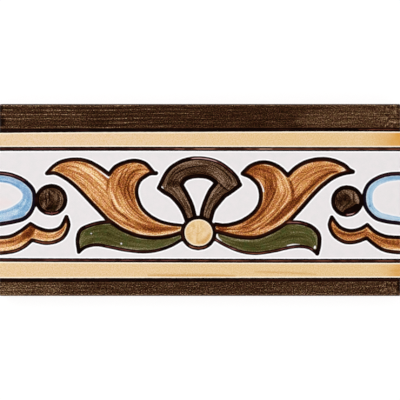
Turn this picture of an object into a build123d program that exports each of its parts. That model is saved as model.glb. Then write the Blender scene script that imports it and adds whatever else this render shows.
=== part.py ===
"""Border tile: one pressed and fired earthenware tile with a glazed face.

The tile lies on its back, face up. The origin is at the middle of its back, +X runs along the
border and +Z points out of the glazed face. All sizes are in millimetres.
"""

import os

from build123d import *

# Overall size
tile_length = 200.0
tile_width = 95.5
tile_thickness = 9.0

# Edges: glaze rounds the rim of the face, and the press mould eases the corners and the back
corner_radius = 1.0
face_edge_radius = 0.6
back_edge_chamfer = 0.6

# Key grooves pressed into the back for the adhesive, running along the tile inside a plain rim
groove_depth = 0.9
groove_width = 6.0
groove_pitch = 11.0
groove_rim = 8.0
groove_draft = 25.0

groove_length = tile_length - 2 * groove_rim
groove_span = tile_width - 2 * groove_rim
groove_count = int((groove_span - groove_width) // groove_pitch) + 1


with BuildPart() as border_tile:
    # The blank: a flat plate with rounded corners
    with BuildSketch(Plane.XY):
        RectangleRounded(tile_length, tile_width, corner_radius)
    extrude(amount=tile_thickness)

    # The rim of the face is rounded, and the rim of the back is broken
    fillet(border_tile.faces().sort_by(Axis.Z)[-1].edges(), face_edge_radius)
    chamfer(border_tile.faces().sort_by(Axis.Z)[0].edges(), back_edge_chamfer)

    # Round-ended key grooves, narrower at their floor so that the press lets go
    with BuildSketch(Plane.XY):
        with GridLocations(0, groove_pitch, 1, groove_count):
            SlotOverall(groove_length, groove_width)
    extrude(amount=groove_depth, taper=groove_draft, mode=Mode.SUBTRACT)

border_tile.part.label = "border_tile"

os.makedirs("parts", exist_ok=True)
export_step(border_tile.part, "parts/border_tile.step")
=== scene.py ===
"""Border tile: the fired clay body from the frame, dressed with its hand-painted glaze.

The painting is drawn in millimetres on the face, seen from above: x runs along the border, y up the
picture, and (0, 0) is the middle of the tile. The drawing is 200 long, and fills the flat of the face.
Each line of it is a few listed points, with a smooth curve through them. Every vertex of the
glaze learns how deep it lies in each colour, and the glaze material turns those depths into brushed
edges, streaks and pooled outlines.
"""

import math

import bpy
import numpy as np
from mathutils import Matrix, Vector, noise


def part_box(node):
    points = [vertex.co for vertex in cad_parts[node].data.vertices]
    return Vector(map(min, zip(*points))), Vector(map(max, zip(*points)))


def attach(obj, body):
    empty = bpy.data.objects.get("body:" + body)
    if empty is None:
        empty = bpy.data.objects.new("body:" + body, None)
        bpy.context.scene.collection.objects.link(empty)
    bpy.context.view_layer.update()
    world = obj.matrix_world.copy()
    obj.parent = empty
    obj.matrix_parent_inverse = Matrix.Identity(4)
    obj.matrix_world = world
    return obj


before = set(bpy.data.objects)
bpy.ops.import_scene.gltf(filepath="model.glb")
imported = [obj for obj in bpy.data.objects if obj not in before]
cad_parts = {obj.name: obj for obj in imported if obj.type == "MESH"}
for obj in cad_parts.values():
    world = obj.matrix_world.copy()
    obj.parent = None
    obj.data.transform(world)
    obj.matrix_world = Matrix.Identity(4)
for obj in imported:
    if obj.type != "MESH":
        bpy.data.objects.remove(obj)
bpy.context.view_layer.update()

MM = 0.001
TILE = "border_tile"

# The clay body, from the frame, and the rounding of its corners and of the rim of its face
tile_low, tile_high = (Vector(corner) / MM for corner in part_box(TILE))
half_length = (tile_high.x - tile_low.x) / 2
half_width = (tile_high.y - tile_low.y) / 2
face_height = tile_high.z
corner_radius = 1.0
rim_radius = 0.6

# The glaze: how far it stands on the clay, how deep it bites in, and how far it runs down the sides,
# with its slow and quick changes, its least, the shares at which its rings lie, and its sunk lower edge
glaze_proud = 0.12
glaze_bite = 0.15
run_down = 1.6
run_down_change = 1.9
run_down_ripple = 0.6
least_run_down = 0.5
side_shares = (0.35, 0.7, 0.92, 1.0)
edge_sink = 0.04

# How high the glaze's slow waves and small ripples stand, and the paint and the ink on it
wave_height = 0.030
ripple_height = 0.014
paint_height = 0.016
ink_height = 0.030

# The floor: how far it reaches in under the tile's edges, its gap below the tile's back, its grey
# under the lamps, and how much it glows to the eye
floor_lap = 2.5
floor_gap = 0.02
floor_grey = 112
floor_glow = 0.87

# The two soft boxes: where they stand and how wide they are, in metres, and their power in watts
LAMPS = {"key_box": ((-0.7, 0.6, 1.0), 0.8, 6.6), "fill_box": ((0.8, -0.7, 0.9), 0.9, 4.3)}

# The grid of the glaze, finer across the painting than across the plain brown bands
grid_step = 0.5
row_step = 0.45
plain_row_step = 1.2
painted_top = 36.5
painted_bottom = -41.0

# The part of the face that the drawing fills, which is also what the camera sees of its length: the
# outer share of the rounded rim lies past it
rim_left_out = 0.7
drawing_half_length = 100.0
seen_half_length = half_length - rim_left_out * rim_radius
drawing_scale = drawing_half_length / seen_half_length

# Lines that leave the tile are drawn past its ends, because the paint goes round the rim
OFF = 106.0


def half_oval(centre, radii, side, count=9):
    """Points from the top of an oval to its bottom, by way of its left (-1) or right (1) side."""
    turn = np.linspace(0, math.pi, count)
    across = centre[0] + side * radii[0] * np.sin(turn)
    up = centre[1] + radii[1] * np.cos(turn)
    return list(zip(across, up))


LINES = {
    # Left leaf: each line runs from a tip or a fork to the foot of the leaf at the middle disc
    "left crest": [(-76.6, 13.3), (-74, 16.2), (-70, 18.9), (-65, 20.1), (-60, 20.2), (-55, 18.9),
                   (-50, 16.1), (-45.5, 12.8)],
    "left curl": [(-23.6, 14.2), (-27.5, 18.2), (-32.5, 19.6), (-37, 18.9), (-42.2, 16.6), (-45.5, 12.8)],
    "left back": [(-21.9, 13.4), (-25, 13.2), (-27.4, 11.9), (-29.9, 9.9), (-31.6, 6), (-31.6, 2.5),
                  (-30, -2.4), (-28.4, -4.8), (-26, -7.2), (-20.1, -10.6), (-15, -12), (-9, -12.7)],
    "left belly": [(-76.6, 13.3), (-72.5, 13.4), (-67.3, 10.9), (-62.3, 7), (-55.2, -0.4), (-46.2, -9.8)],
    "left hip": [(-46.2, -9.8), (-43.5, -11.7), (-40, -14.1), (-35, -16.5), (-30, -18.1), (-22.5, -18.9),
                 (-15, -18), (-9.3, -16.3)],
    "left vein": [(-45.7, 12), (-46.4, 7), (-45.8, 2), (-44.2, -2), (-41.2, -6.5), (-36, -10.4),
                  (-29, -13.5), (-20, -14.7), (-9.3, -14.3)],
    # Right leaf, in the same order
    "right crest": [(76.4, 14.1), (74.6, 15), (72.5, 17), (67.5, 19.4), (62.5, 20.4), (57.5, 20.1),
                    (52.4, 18.7), (47.4, 15.7), (43.9, 12.2)],
    "right curl": [(21.3, 13.3), (25, 16.8), (30, 18.7), (35, 18.4), (40, 16), (43.9, 12.2)],
    "right back": [(21.3, 13.2), (25.2, 11.5), (27.4, 9.6), (29.3, 7.3), (30.4, 3.5), (30.3, 0),
                   (29.6, -2.5), (28, -5.1), (25.5, -7.6), (20, -10.9), (12.5, -12.7), (7.8, -12.2)],
    "right belly": [(76.4, 14.1), (72.5, 13.5), (67.5, 11.7), (62.5, 8.3), (57.6, 3.8), (50.2, -4.5),
                    (44.4, -10.7)],
    "right hip": [(44.4, -10.7), (40, -13.6), (35, -16.3), (30, -18.3), (25, -18.9), (17.5, -18.1),
                  (7.8, -15.6)],
    "right vein": [(44.2, 10), (45.8, 6), (45.8, 2.5), (44, -1), (40.5, -5.2), (36, -9.6), (30, -13.8),
                   (24, -16.3), (7.8, -15.4)],
    # How the brush ran over the outer lobes, on past the fork
    "left sweep": [(-76.6, 13.3), (-70, 19.2), (-60, 20.1), (-50, 15.8), (-41, 7.5), (-35, -1.5), (-27, -9.5),
                   (-9.3, -14)],
    "right sweep": [(76.4, 14.1), (67.5, 19.4), (57.5, 20.2), (47.5, 15.9), (39, 6.5), (33.5, -2.5),
                    (25, -10.5), (7.8, -14)],
    # Green sprigs under the leaves, from tip to foot
    "left crown": [(-60.6, -26), (-61.2, -19.5), (-59.7, -15.1), (-55, -12.7), (-50, -11.4), (-44.5, -10.9)],
    "left hem": [(-60.6, -26), (-58, -23.9), (-55, -22.8), (-51, -22.4), (-45, -23.5), (-37.5, -25),
                 (-29, -25.9), (-22.5, -25.4), (-15, -23.1), (-8.8, -19.6)],
    "right crown": [(58.6, -26.8), (59.6, -22.5), (59.4, -17.5), (57.5, -14.8), (55, -13), (50, -11.4),
                    (43, -11.3)],
    "right hem": [(58.6, -26.8), (55, -24.1), (50, -23.2), (45, -23.7), (37.5, -25.4), (27.5, -26.7),
                  (20, -25.6), (12.5, -22.5), (7.3, -19.5)],
    # Horseshoe in the middle
    "arch top": [(-20.6, 6), (-18.8, 9.9), (-15.9, 14.8), (-12.4, 17.7), (-7.5, 20), (-1.5, 20.9),
                 (5, 20.2), (10, 18.4), (15, 14.8), (18.2, 11.4), (20.1, 7.5)],
    "arch eye": [(-9.3, 7.6), (-7.5, 10.2), (-5, 11.4), (0, 12), (5, 11), (8.2, 8.6)],
    "left leg inside": [(-9.3, 7.6), (-6.4, 2.5), (-4.1, -2.5), (-2.5, -8.4)],
    "left leg outside": [(-20.6, 6), (-17.5, 3.7), (-15, 2.3), (-12.5, 0), (-8.8, -5), (-6.8, -9.9)],
    "right leg inside": [(8.2, 8.6), (5.3, 5), (2.9, 0), (1.2, -5), (0.7, -8.6)],
    "right leg outside": [(20.1, 7.5), (15, 3.7), (12.5, 2.1), (10, -0.7), (6.8, -5), (5.2, -10.3)],
    # Disc, balls and the ovals that run on over the next tile
    "disc left": half_oval((-0.75, -16.4), (8.05, 7.75), -1),
    "disc right": half_oval((-0.75, -16.4), (8.05, 7.75), 1),
    "left ball brush": [(-82, 7), (-82, -7)],
    "left ball left": half_oval((-74.2, 0.1), (7.3, 6.9), -1),
    "left ball right": half_oval((-74.2, 0.1), (6.9, 6.9), 1),
    "right ball brush": [(65.6, 6.4), (65.6, -7.5)],
    "right ball left": half_oval((73.45, -0.55), (6.9, 6.9), -1),
    "right ball right": half_oval((73.45, -0.55), (7.2, 6.9), 1),
    "left oval": [(-OFF, 13.5), (-97.5, 13.1), (-92.5, 11.9), (-87.5, 9.3), (-83.5, 5), (-82.8, 0),
                  (-84, -5), (-87.5, -9), (-92.5, -10.7), (-OFF, -13)],
    "left oval bare": [(-OFF, 8.9), (-96.5, 7.8), (-93.1, 6.4), (-90.2, 4.4), (-89.2, 2.6), (-89.6, 0.7),
                       (-91.6, -1.3), (-95, -3.4), (-100, -5), (-OFF, -5.8)],
    "right oval": [(OFF, 13.2), (95, 12.9), (90, 11.6), (85, 8.6), (82.7, 5), (82.1, 1), (82.6, -2.5),
                   (83.7, -5), (87.7, -9), (92.6, -10.6), (OFF, -12.3)],
    "right oval bare": [(OFF, 9.7), (98, 9.3), (94.4, 8.8), (91.4, 7.8), (88.9, 6.4), (87.1, 3.9),
                        (86.7, 1), (87.2, -2.4), (90.2, -5.5), (96, -7.2), (OFF, -8.8)],
    # Scrolls at the two ends
    "left scroll top": [(-OFF, -18.9), (-95, -18.2), (-90, -15.7), (-84.8, -11.9)],
    "left scroll under": [(-OFF, -27.1), (-92.5, -25.5), (-87.5, -23), (-84, -20)],
    "left tail top": [(-84.8, -11.9), (-80, -14.4), (-75, -15.4), (-69.9, -13.8), (-66.8, -8.4)],
    "left tail under": [(-84, -20), (-77.5, -21.5), (-72.5, -20.9), (-68.2, -18.4), (-65.7, -12.5),
                        (-66.7, -8.5)],
    "right scroll top": [(OFF, -19), (92.5, -18.1), (87.4, -15.8), (83.7, -12.4)],
    "right scroll under": [(OFF, -26.7), (92.5, -25.2), (87.5, -22.4), (83.4, -19)],
    "right tail top": [(83.7, -12.4), (80, -14.5), (75, -15.4), (70.1, -13.7), (65.9, -8.6)],
    "right tail under": [(83.4, -19), (77.5, -21), (72.5, -21), (67, -17.6), (64.8, -12.5), (65.9, -8.6)],
    # Blots: the round tips of the scrolls, and the ink that ran beside the left ball and into the right one
    "left knob": [(-66.9, -9), (-66.8, -8.5)],
    "right knob": [(65.9, -9.2), (65.8, -8.8)],
    "left blot": [(-82.3, -2.4), (-82.5, 0), (-82.3, 2.4)],
    "right ball blot": [(73, -5.7), (76, -4.7), (78.4, -3.5)],
    # Straight lines of the border, drawn by hand along a rule
    "upper rule": [(-OFF, 25.5), (-40, 25.6), (20, 25.5), (OFF, 25.4)],
    "lower rule": [(-OFF, -29.9), (-60, -30.1), (0, -30.3), (60, -30.4), (OFF, -30.4)],
    "upper band": [(-OFF, 34.5), (-60, 34.9), (0, 35.1), (60, 35.3), (OFF, 35.2)],
    "lower band": [(-OFF, -40.1), (-20, -40), (OFF, -39.8)],
    "upper edge": [(-OFF, 54), (OFF, 54)],
    "lower edge": [(-OFF, -54), (OFF, -54)],
}

# Lines that part two strokes of one colour, and those that only end a colour: none carries ink
SEAMS = ("left vein", "right vein")
GUIDES = SEAMS + ("left sweep", "right sweep", "left ball brush", "right ball brush",
                  "left oval bare", "right oval bare", "upper edge", "lower edge")

# Widths of the inked lines at their first and last points, where they differ from the usual
LINE_WIDTH = (2.1, 2.1)
WIDTHS = {
    "left crest": (1.8, 2.1), "left belly": (1.9, 2.1), "left back": (2.1, 1.6),
    "right crest": (2.3, 2.1), "right belly": (2.2, 2.1),
    "left hem": (1.7, 1.6), "right hem": (1.7, 1.6), "left crown": (1.95, 1.95),
    "arch top": (1.95, 1.95), "arch eye": (2.2, 2.2),
    "disc left": (1.8, 2.1), "disc right": (1.7, 2.0),
    "left scroll top": (1.8, 1.9), "left scroll under": (1.8, 1.9), "left tail top": (1.9, 1.9),
    "left tail under": (1.9, 2.0),
    "upper rule": (1.95, 1.95), "lower rule": (1.8, 2.0),
    "upper band": (1.9, 1.9), "lower band": (1.9, 1.9), "right knob": (1.8, 1.8),
    "right ball blot": (2.2, 3.5), "right oval": (1.95, 1.95),
    "right scroll top": (1.9, 1.9), "right scroll under": (1.9, 1.9),
    "right tail top": (1.9, 1.9), "right tail under": (1.9, 1.9),
}

# Painted shapes: a colour, and the two edges that the brush ran between
SHAPES = [
    ("brown", ["upper band"], ["upper edge"]),
    ("brown", ["lower band"], ["lower edge"]),
    ("cream", ["upper band"], ["upper rule"]),
    ("cream", ["lower band"], ["lower rule"]),
    ("cream", ["disc left"], ["disc right"]),
    ("green", ["left crown", "left hip"], ["left hem"]),
    ("green", ["right crown", "right hip"], ["right hem"]),
    ("ochre", ["left crest", "left vein"], ["left belly", "left hip"]),
    ("ochre", ["left curl", "left vein"], ["left back"]),
    ("ochre", ["right crest", "right vein"], ["right belly", "right hip"]),
    ("ochre", ["right curl", "right vein"], ["right back"]),
    ("ochre", ["left scroll top"], ["left scroll under"]),
    ("ochre", ["left tail top"], ["left tail under"]),
    ("ochre", ["right scroll top"], ["right scroll under"]),
    ("ochre", ["right tail top"], ["right tail under"]),
    ("umber", ["arch top"], ["arch eye"]),
    ("umber", ["left leg outside"], ["left leg inside"]),
    ("umber", ["right leg inside"], ["right leg outside"]),
    ("umber", ["left ball left"], ["left ball right"]),
    ("umber", ["right ball left"], ["right ball right"]),
    ("blue", ["left oval"], ["left oval bare"]),
    ("blue", ["right oval"], ["right oval bare"]),
]
COLOURS = ("ochre", "green", "umber", "blue", "cream", "brown")

# Shapes whose brush strokes follow another line than their first edge, by the name of that edge
BRUSH_SIDES = {"left crest": ["left sweep"], "right crest": ["right sweep"],
               "left ball left": ["left ball brush"], "right ball left": ["right ball brush"]}

# How far a stroke's soft edge spreads past its width, how much it thins towards its two ends, and half
# the width of a watery stretch of ink
STROKE_SPREAD = 1.5
STROKE_TAPER = 0.6
WATERY_HALF_WIDTH = 3.0

# Single strokes of the brush over the fills: how strong, half their width, and where they run
DARK_STROKES = [
    # Left leaf, outer lobe: the full brush near its tip, the hairs along it, and its far edge
    (0.4, 1.4, [(-71, 15.8), (-67.5, 14.8)]),
    (0.5, 0.45, [(-58.5, 13.6), (-54.5, 10.2), (-51, 7)]),
    (0.7, 0.6, [(-45.8, 10.5), (-46.3, 7), (-46.4, 4.5)]),
    (0.6, 0.5, [(-47, -4.5), (-42.5, -8.5), (-38, -11.4), (-33, -13.4), (-27, -15)]),
    # Left leaf, curl: a broad shade, the hairs over it from the outside inwards, and the foot
    (0.3, 3.0, [(-31, 15.4), (-36, 9), (-35.6, 1)]),
    (0.25, 2.2, [(-33.8, 4), (-32.6, -3), (-27, -10), (-17, -13), (-10, -14)]),
    (0.8, 0.45, [(-36.6, 17.4), (-38.7, 14.1), (-40.3, 8.3), (-39.3, 4.5), (-37.4, 0)]),
    (0.95, 0.5, [(-33.2, 14.1), (-35.8, 11.2), (-37.6, 5.4), (-36.2, -0.5), (-33, -5), (-27, -9.4)]),
    (0.95, 0.45, [(-32.6, 12.8), (-35, 9.9), (-35.9, 5), (-35, 2), (-33.3, -1.8)]),
    (0.8, 0.4, [(-34.6, 17), (-36.8, 14), (-38.3, 10), (-38.6, 6)]),
    (0.8, 0.4, [(-29.5, 15.4), (-32.4, 14.8), (-34.4, 13)]),
    (0.7, 0.6, [(-31.2, 17.6), (-28.6, 16.6)]),
    (0.6, 0.4, [(-33.6, 8), (-33.4, 4), (-32.4, 0)]),
    (0.95, 0.5, [(-44.4, 0.4), (-42.4, -4.3), (-40.3, -6.3), (-37.8, -8), (-34.5, -10.9)]),
    (0.9, 0.7, [(-39.4, -6.8), (-37.2, -8.6), (-35, -10.4)]),
    (0.6, 1.2, [(-36.5, -10.6), (-32, -12.2), (-27, -13.7), (-20, -14.6), (-14, -14.1), (-10.5, -14.3)]),
    (0.7, 0.6, [(-33, -12.2), (-27, -14), (-20, -14.7), (-15, -14.3)]),
    (0.7, 0.45, [(-30, -14.4), (-24, -15.7), (-18.5, -15.6)]),
    # Right leaf, outer lobe: the shadow along its lower side, its fold, and the deep foot of the fold
    (0.2, 4.5, [(68, 16), (59, 14.4), (51, 9)]),
    (1.0, 1.15, [(68.8, 14.4), (65.5, 13.9), (62.5, 12.2), (59, 9.8), (53, 4.4), (47, -0.6), (44.5, -3)]),
    (0.8, 1.4, [(51, 1.4), (47.6, -1.8), (44.4, -4.6)]),
    (1.0, 0.8, [(44.3, 10.6), (45.6, 8), (46.1, 5.6), (46.5, 3), (46.3, 0.4), (45.4, -1.6)]),
    (0.9, 1.15, [(45.6, -0.4), (42.4, -4), (39.6, -6.8), (36.4, -9.8), (33, -12.8)]),
    (0.9, 1.25, [(47, -2.6), (44.4, -5), (41.2, -7.8), (38, -10.4), (35, -12.6)]),
    (0.5, 1.4, [(44, -3.6), (40.4, -7), (37, -10)]),
    (0.9, 0.9, [(39, -8), (35, -11.2), (29.8, -14.7)]),
    # Right leaf, curl: a broad shade, its bounding line and hairs, and the foot
    (0.6, 3.0, [(23, 13.8), (31, 14.6), (34.5, 11), (34.6, 5), (33.4, 0)]),
    (0.4, 2.0, [(24, 14.4), (29, 16.2), (34, 14.8)]),
    (0.42, 2.4, [(33.6, -1), (30, -6.4), (24, -11.2), (16, -14), (8, -14.4)]),
    (0.7, 0.7, [(9.5, -16), (17, -17.3), (24, -17.7), (28, -17.1)]),
    (0.8, 0.5, [(36, -8.4), (31.6, -12), (26.6, -15.2), (22, -16.4)]),
    (0.8, 0.45, [(32.4, -7.6), (28.6, -10.8), (24, -13.4), (18.6, -14.8)]),
    (0.85, 0.55, [(32.5, 16.6), (36, 14.5), (37.6, 11), (38, 7), (37.2, 3.5), (34.4, -2), (32, -5),
                  (29.5, -7.7), (26, -10.8), (21, -13.2)]),
    (0.6, 0.6, [(31.6, 14.5), (32.6, 10.5), (32.8, 6)]),
    (0.6, 0.5, [(35.2, 14.5), (36, 10), (35.2, 5.5)]),
    (0.8, 0.4, [(40.6, -4.2), (37.5, -6.9), (34.6, -9.4)]),
    (0.8, 0.4, [(36.6, -6), (33, -9), (29.6, -11.4)]),
    (0.8, 0.9, [(8.4, -14.9), (11.5, -14.8), (14.4, -14.8)]),
    (0.7, 0.8, [(8, -13.6), (10.6, -13.8)]),
    (0.5, 0.5, [(16, -15.9), (21, -15.4), (26.5, -14)]),
    # Scrolls
    (1.0, 2.3, [(-82.8, -14.6), (-85, -15.8), (-88.6, -18)]),
    (0.9, 1.3, [(-84.4, -12.4), (-84.6, -15.4), (-85.6, -18.8)]),
    (0.5, 1.6, [(-86, -17), (-90, -19.4), (-96, -21)]),
    (0.7, 0.9, [(-93, -20.6), (-97, -21.4), (-104, -21.6)]),
    (0.6, 0.6, [(-72.4, -17), (-69.2, -15.2), (-67.6, -13.8)]),
    (0.48, 3.0, [(66, -12.6), (69, -16), (75, -17.6), (83, -16.6), (90, -20), (104, -22.6)]),
    (0.6, 0.8, [(67, -13.8), (69.6, -16.3), (73, -17.3), (77, -17.2), (81.4, -16.4)]),
    (0.25, 1.5, [(91, -21), (96, -21.8), (104, -22.4)]),
    # Horseshoe, from its top down to its legs
    (0.7, 0.5, [(-13, 13), (-8, 15.3), (-4, 16.5), (0, 17), (4, 16.8)]),
    (0.5, 1.0, [(-8.4, 11.2), (-4.6, 13), (0, 13.6), (5, 12.6), (8.6, 10)]),
    (0.5, 2.2, [(-15.5, 8), (-10.5, 8.6)]),
    (0.9, 0.5, [(9.2, 8.8), (12, 6.2), (14.6, 4.5)]),
    # Balls
    (0.32, 4.0, [(-78, 0.6), (-72, -0.6)]),
    (0.4, 5.0, [(69, 0.6), (75, -1)]),
    (0.9, 1.6, [(-76.8, -4.2), (-74.2, -4.2), (-71.6, -3.2)]),
    (0.9, 0.45, [(-75.3, 4.4), (-75.4, 2), (-75.3, -0.6)]),
    (0.7, 0.4, [(-77.2, 3.6), (-77.3, 2)]),
    (0.9, 0.45, [(-76.8, 1), (-76.7, -2.4)]),
    (0.7, 1.3, [(-79.6, 1.6), (-79.8, -2.4)]),
    (0.7, 0.5, [(76.6, 4), (76.8, 1), (76.6, -1)]),
    (0.8, 0.4, [(72.7, 2.6), (72.5, -0.4)]),
    (0.4, 1.4, [(70, 0.4), (70.6, -2.4)]),
    # Green sprigs, where the paint was thick
    (0.2, 3.0, [(-57, -18), (-50, -16.6), (-45, -17)]),
    (0.16, 3.0, [(32, -21), (40, -19.6), (47, -19)]),
    # Rings of the ovals
    (0.9, 0.45, [(-106, 9.9), (-96.4, 8.9), (-92.4, 7.4), (-90.2, 5.8)]),
    (0.6, 1.6, [(-88.6, 6), (-86, 2), (-86.2, -2), (-88.6, -5)]),
    (0.6, 0.9, [(104, 11.2), (96, 11.1), (92, 10)]),
    (1.0, 1.4, [(84.6, -2.9), (85.2, -3.1)]),
    # Disc
    (0.8, 0.35, [(-1, -12.4), (-1.2, -17), (-1.7, -22)]),
    (0.3, 1.4, [(-5.4, -13), (-6, -17), (-4.6, -20.6)]),
    (0.3, 0.6, [(-3, -11), (-3.4, -15.4)]),
    (1.0, 1.2, [(-1, -21.2), (1.6, -20.8), (3.4, -19.6), (4.8, -17.2)]),
    # Bands: the dark ends, and the orange that ran to the bottom of the lower stripe
    (0.8, 1.2, [(-99.9, 47), (-99.4, 44.6)]),
    (1.0, 1.6, [(-99.9, 41.4), (-98.9, 39.4), (-99.8, 37.4)]),
    (0.8, 1.0, [(99.6, -46), (99.2, -43), (99.8, -40)]),
    (1.0, 0.8, [(-26, -37.6), (-10, -37.7), (5, -37.7), (18, -38)]),
    (0.8, 0.6, [(27, -35.8), (38, -36.2), (47, -36.5), (58, -37.1)]),
    (0.8, 0.6, [(95, -35.4), (100, -35.2), (104, -35.4)]),
]
PALE_STROKES = [
    # Left leaf, outer lobe
    (0.65, 1.0, [(-60, 16), (-57, 14.6), (-53, 12), (-49, 8), (-47, 5.8)]),
    (0.6, 0.7, [(-45, -5.4), (-40, -9), (-35, -11.5), (-29, -13.9)]),
    (0.55, 0.7, [(-45, -9.7), (-38, -13.6), (-30, -16.4), (-22, -17.4), (-14, -16.5), (-10, -15.4)]),
    (0.8, 0.8, [(-11, -15), (-9.4, -14.9)]),
    (0.7, 0.6, [(-19, -16.4), (-14, -15.9), (-10, -15)]),
    (0.8, 0.5, [(-31, -4.4), (-27, -8.4), (-22, -11.1), (-17, -12.8), (-11, -13.5)]),
    (0.15, 6.0, [(-66, 13), (-58, 11), (-51, 3)]),
    # Left leaf, curl
    (0.7, 0.6, [(-44.2, 4), (-42.8, 0.4), (-41, -3), (-37.6, -6.4)]),
    (0.2, 1.8, [(-43, 12), (-43, 5), (-40.6, -2), (-36, -6.6)]),
    # Right leaf, outer lobe
    (0.85, 0.45, [(62, 9.2), (56.4, 4), (52.8, 0.2), (48.8, -4)]),
    (0.6, 0.6, [(72.4, 15), (69, 15.6), (66, 16.2), (62, 16.2)]),
    (0.5, 0.8, [(44.6, 10.6), (45.4, 9.8)]),
    (0.6, 0.9, [(47.2, -5.2), (44.4, -7.4), (41.2, -10), (37, -12.8), (33, -14.8), (30, -15.9)]),
    # Right leaf, curl
    (0.9, 0.55, [(40.4, 14.2), (43.4, 9.3), (44.7, 5.6), (44.8, 3), (43.6, 0.2), (41, -3.8), (38.2, -6.7),
                 (35, -9.8), (31, -12.8)]),
    (0.6, 0.5, [(37.5, -4.6), (33.5, -8.3), (30.6, -10.4)]),
    (0.8, 0.45, [(36, -9.3), (31, -13), (28.2, -15)]),
    (0.7, 0.4, [(34.6, -8.2), (30.6, -11.2), (26, -13.8)]),
    (0.6, 0.4, [(30.8, -8.2), (26.4, -11.6), (22, -13.4)]),
    (0.9, 0.4, [(13, -15.3), (17, -15.5), (21.4, -14.9)]),
    (0.9, 0.5, [(14, -13.4), (19, -13.2), (23, -11.8)]),
    (0.7, 0.5, [(8.2, -14.1), (9, -14.4)]),
    # Scrolls
    (0.35, 0.5, [(-104, -19.9), (-97, -19.3), (-92, -18), (-88, -15.8)]),
    (0.6, 0.6, [(-87, -20.6), (-90, -22.4), (-94, -23.7)]),
    (0.8, 1.1, [(-93, -23.6), (-98, -24.2), (-104, -24.4)]),
    (0.7, 0.6, [(-82.4, -15), (-82.2, -17.6)]),
    (0.5, 0.6, [(-81.6, -15.6), (-78, -16.7), (-74, -16.8), (-70, -15.2)]),
    (0.5, 0.55, [(-83, -18.4), (-79.4, -19.7), (-75, -20), (-71, -18.9), (-68.5, -16.4), (-67, -13)]),
    (0.5, 0.45, [(66.2, -12.4), (68.6, -14.5), (72, -16.1), (76, -16.6), (80, -15.8), (83, -14.6)]),
    (0.5, 0.55, [(67, -16), (70, -18.8), (74, -19.9), (78, -19.6), (82, -17.8)]),
    (0.7, 0.6, [(83.4, -14.4), (84.6, -15.2), (86.6, -16.8)]),
    (0.6, 0.8, [(90.6, -22.6), (93, -23), (96, -23.8), (104, -25)]),
    # Horseshoe
    (0.6, 0.5, [(-17.4, 11), (-15, 14.4), (-11, 17.3), (-6, 19), (-1, 19.6)]),
    (0.7, 0.7, [(15.8, 9), (17.8, 7.2)]),
    (0.7, 0.5, [(10, 9), (12.5, 6.7), (15.2, 5)]),
    (0.6, 0.5, [(-14.3, 3.3), (-11.5, 0), (-9, -4), (-7.4, -7.5)]),
    (0.15, 2.0, [(-12, 4), (-8, -2), (-5.4, -8)]),
    (0.5, 0.45, [(-10, 5), (-7, 1), (-5, -3), (-3.6, -7)]),
    (0.5, 0.5, [(7.4, 6), (5, 2), (3.2, -2), (2, -6.5)]),
    (0.6, 0.5, [(3.2, -6), (3.4, -8)]),
    # Balls
    (1.0, 0.75, [(-70, 3.6), (-69.4, 0.2), (-70.1, -2.6), (-72, -5.4)]),
    (0.6, 0.45, [(-77.9, 4.6), (-77.9, 0.4)]),
    (0.6, 0.45, [(-76.2, 4.8), (-76.2, -2)]),
    (0.6, 0.6, [(-71.9, 4.6), (-71.6, -0.6)]),
    (0.6, 0.6, [(71, 5), (71.6, 2.6)]),
    (0.5, 0.5, [(69, 3), (68.4, -1.6)]),
    (0.8, 0.5, [(77.2, 3.8), (78, 1.4), (78.3, -0.8)]),
    (0.6, 0.4, [(79.2, 1.4), (79.2, -1.4)]),
    # Green sprigs: thin paint along the outlines
    (0.4, 0.45, [(-59.5, -19), (-57, -15), (-53, -13)]),
    (0.6, 0.45, [(-48, -22), (-40, -23.3), (-35, -24.1), (-28, -24.3), (-22, -24), (-17, -22.8),
                 (-13, -21.5)]),
    (0.6, 0.5, [(12, -18.8), (16, -19.8), (22, -20.2), (28, -19.9), (35, -18), (40, -15.5)]),
    (0.5, 0.5, [(56, -16), (58, -19), (58, -22)]),
    # The pink side of the disc
    (0.7, 1.6, [(2.6, -12.2), (3.6, -15), (3, -18)]),
    (0.5, 0.9, [(-2.2, -14), (-2.8, -18), (-2, -21.4)]),
    # Rings of the ovals, and the pink tinge of the white inside the left one
    (0.6, 2.0, [(-106, -9.4), (-97, -8), (-91.4, -5.4)]),
    (0.8, 3.0, [(-104, -1.6), (-95, -1.4)]),
    (0.35, 2.4, [(92, 10), (85.6, 5), (84.4, 0), (87, -5.6), (94, -8.6)]),
    (0.5, 1.0, [(84, 4), (85.6, 6.4), (88, 8.6)]),
    (0.85, 1.2, [(88, -6.4), (94, -8.4), (104, -9.8)]),
    # Bands, where the brown was thin
    (0.9, 8.0, [(50, 40), (80, 41), (112, 41)]),
    (0.4, 6.0, [(-112, 40), (-84, 41), (-60, 41)]),
    (0.55, 5.0, [(-112, -44), (-93, -44.5), (-70, -44)]),
    (0.4, 3.5, [(-108, -45), (-99, -45), (-91, -45.6)]),
    (0.2, 5.0, [(40, -44), (80, -44), (112, -44)]),
]

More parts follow.
